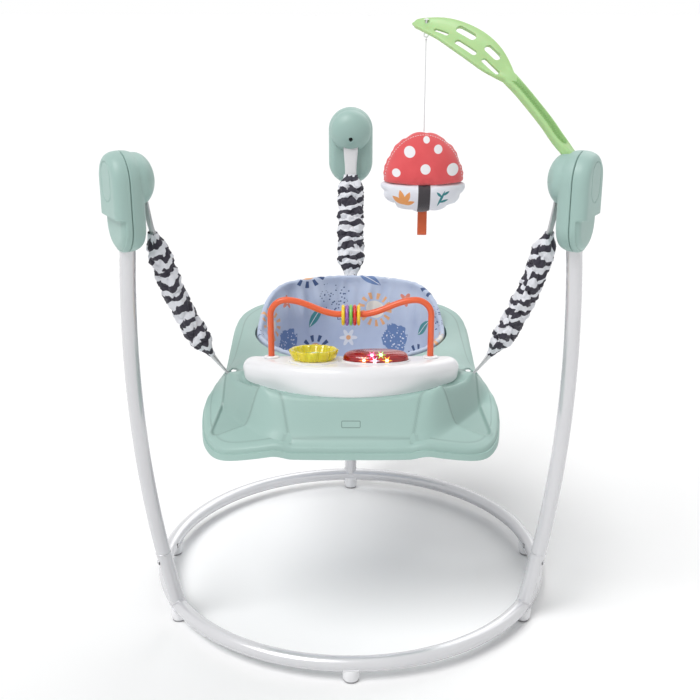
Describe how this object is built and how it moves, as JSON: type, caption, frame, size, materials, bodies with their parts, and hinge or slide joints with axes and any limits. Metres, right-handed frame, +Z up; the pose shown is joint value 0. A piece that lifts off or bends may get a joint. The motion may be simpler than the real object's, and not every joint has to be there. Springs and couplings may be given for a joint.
{
  "type": "baby activity center",
  "caption": "Free-standing baby jumper: a turning cloth seat in a toy tray, hung by springs in sleeves from bowed tubes on a floor ring, with a leaf-shaped arm and a hanging stuffed toy.",
  "frame": {"origin": "on the floor, under the middle of the object's width and depth", "axes": "+X to the right as seen from the tray's front, -Y towards the tray's front, +Z up"},
  "size_m": [0.7676, 0.7894, 1.0131],
  "materials": {
    "steel": "satin",
    "mint": "satin",
    "white": "satin",
    "orange": "satin",
    "leaf": "satin",
    "black": "matte",
    "zebra": "matte",
    "webbing": "matte",
    "fabric": "matte",
    "red": "gloss",
    "yellow": "gloss",
    "green": "gloss",
    "purple": "gloss",
    "ring_red": "gloss",
    "plush_red": "matte",
    "plush_white": "matte",
    "metal": "satin",
    "board": "satin"
  },
  "bodies": {
    "frame": {"base_tube_front": "steel", "base_tube_rear": "steel", "foot_front": "white", "foot_left": "white", "foot_right": "white", "foot_left_rear": "white", "foot_right_rear": "white", "foot_rear": "white", "leg_left": "steel", "leg_right": "steel", "leg_rear": "steel", "pod_inner_left": "mint", "pod_inner_right": "mint", "pod_inner_rear": "mint", "pod_outer_left": "mint", "pod_outer_right": "mint", "pod_outer_rear": "mint", "strap_pin_left": "metal", "strap_pin_right": "metal", "strap_pin_rear": "metal", "upper_strap_left": "webbing", "upper_strap_right": "webbing", "upper_strap_rear": "webbing", "spring_left": "metal", "spring_right": "metal", "spring_rear": "metal", "sleeve_left": "zebra", "sleeve_right": "zebra", "sleeve_rear": "zebra", "leaf_arm": "leaf"},
    "tray": {"tray_shell": "mint", "seat_track": "white", "console_top": "white", "console_base": "white", "battery_door": "white", "circuit_board": "board", "speaker": "black", "toy_bar": "orange", "bar_collar_left": "white", "bar_collar_right": "white", "spinner_axle": "white", "lower_strap_left": "webbing", "lower_strap_right": "webbing", "lower_strap_rear": "webbing"},
    "seat": {"seat_ring": "white", "seat_fabric": "fabric"},
    "spinner": {"spinner_ring": "yellow", "spinner_flower": "green"},
    "light_button": {"light_dome": "red"},
    "switch_slider": {"power_switch": "orange"},
    "ring_1": {"bar_ring_1": "yellow"},
    "ring_2": {"bar_ring_2": "purple"},
    "ring_3": {"bar_ring_3": "green"},
    "ring_4": {"bar_ring_4": "ring_red"},
    "ring_5": {"bar_ring_5": "yellow"},
    "hook": {"toy_hook": "white"},
    "toy": {"toy_string": "webbing", "mushroom_cap": "plush_red", "mushroom_body": "plush_white", "toy_ribbon": "orange"}
  },
  "joints": [
    {"name": "tray_bounce", "type": "slide", "parent": "frame", "child": "tray", "axis": [0, 0, 1], "range_m": [-0.1, 0.03], "stiffness_N_per_m": 1500, "springref_m": 0.0042, "deforming": ["spring_left", "spring_right", "spring_rear", "sleeve_left", "sleeve_right", "sleeve_rear"]},
    {"name": "seat_spin", "type": "hinge", "parent": "tray", "child": "seat", "pos_m": [0, 0.00975, 0.45], "axis": [0, 0, 1], "continuous": true},
    {"name": "spinner_spin", "type": "hinge", "parent": "tray", "child": "spinner", "pos_m": [-0.06, -0.21525, 0.4887], "axis": [0, 0.1392, 0.9903], "continuous": true},
    {"name": "dome_press", "type": "slide", "parent": "tray", "child": "light_button", "axis": [0, 0.1392, 0.9903], "range_m": [-0.0025, 0], "stiffness_N_per_m": 400, "springref_m": 0.001},
    {"name": "switch_slide", "type": "slide", "parent": "tray", "child": "switch_slider", "axis": [1, 0, 0], "range_m": [0, 0.004]},
    {"name": "ring_1_turn", "type": "hinge", "parent": "tray", "child": "ring_1", "pos_m": [-0.0124, -0.19225, 0.5577], "axis": [1, 0, 0], "continuous": true},
    {"name": "ring_2_turn", "type": "hinge", "parent": "tray", "child": "ring_2", "pos_m": [-0.0062, -0.19225, 0.5577], "axis": [1, 0, 0], "continuous": true},
    {"name": "ring_3_turn", "type": "hinge", "parent": "tray", "child": "ring_3", "pos_m": [0, -0.19225, 0.5577], "axis": [1, 0, 0], "continuous": true},
    {"name": "ring_4_turn", "type": "hinge", "parent": "tray", "child": "ring_4", "pos_m": [0.0062, -0.19225, 0.5577], "axis": [1, 0, 0], "continuous": true},
    {"name": "ring_5_turn", "type": "hinge", "parent": "tray", "child": "ring_5", "pos_m": [0.0124, -0.19225, 0.5577], "axis": [1, 0, 0], "continuous": true},
    {"name": "toy_swivel", "type": "hinge", "parent": "frame", "child": "hook", "pos_m": [0.11772, -0.09822, 1.00235], "axis": [0, 0, 1], "continuous": true},
    {"name": "toy_swing", "type": "hinge", "parent": "hook", "child": "toy", "pos_m": [0.11772, -0.09822, 0.98385], "axis": [1, 0, 0], "range_deg": [-25, 25]}
  ]
}
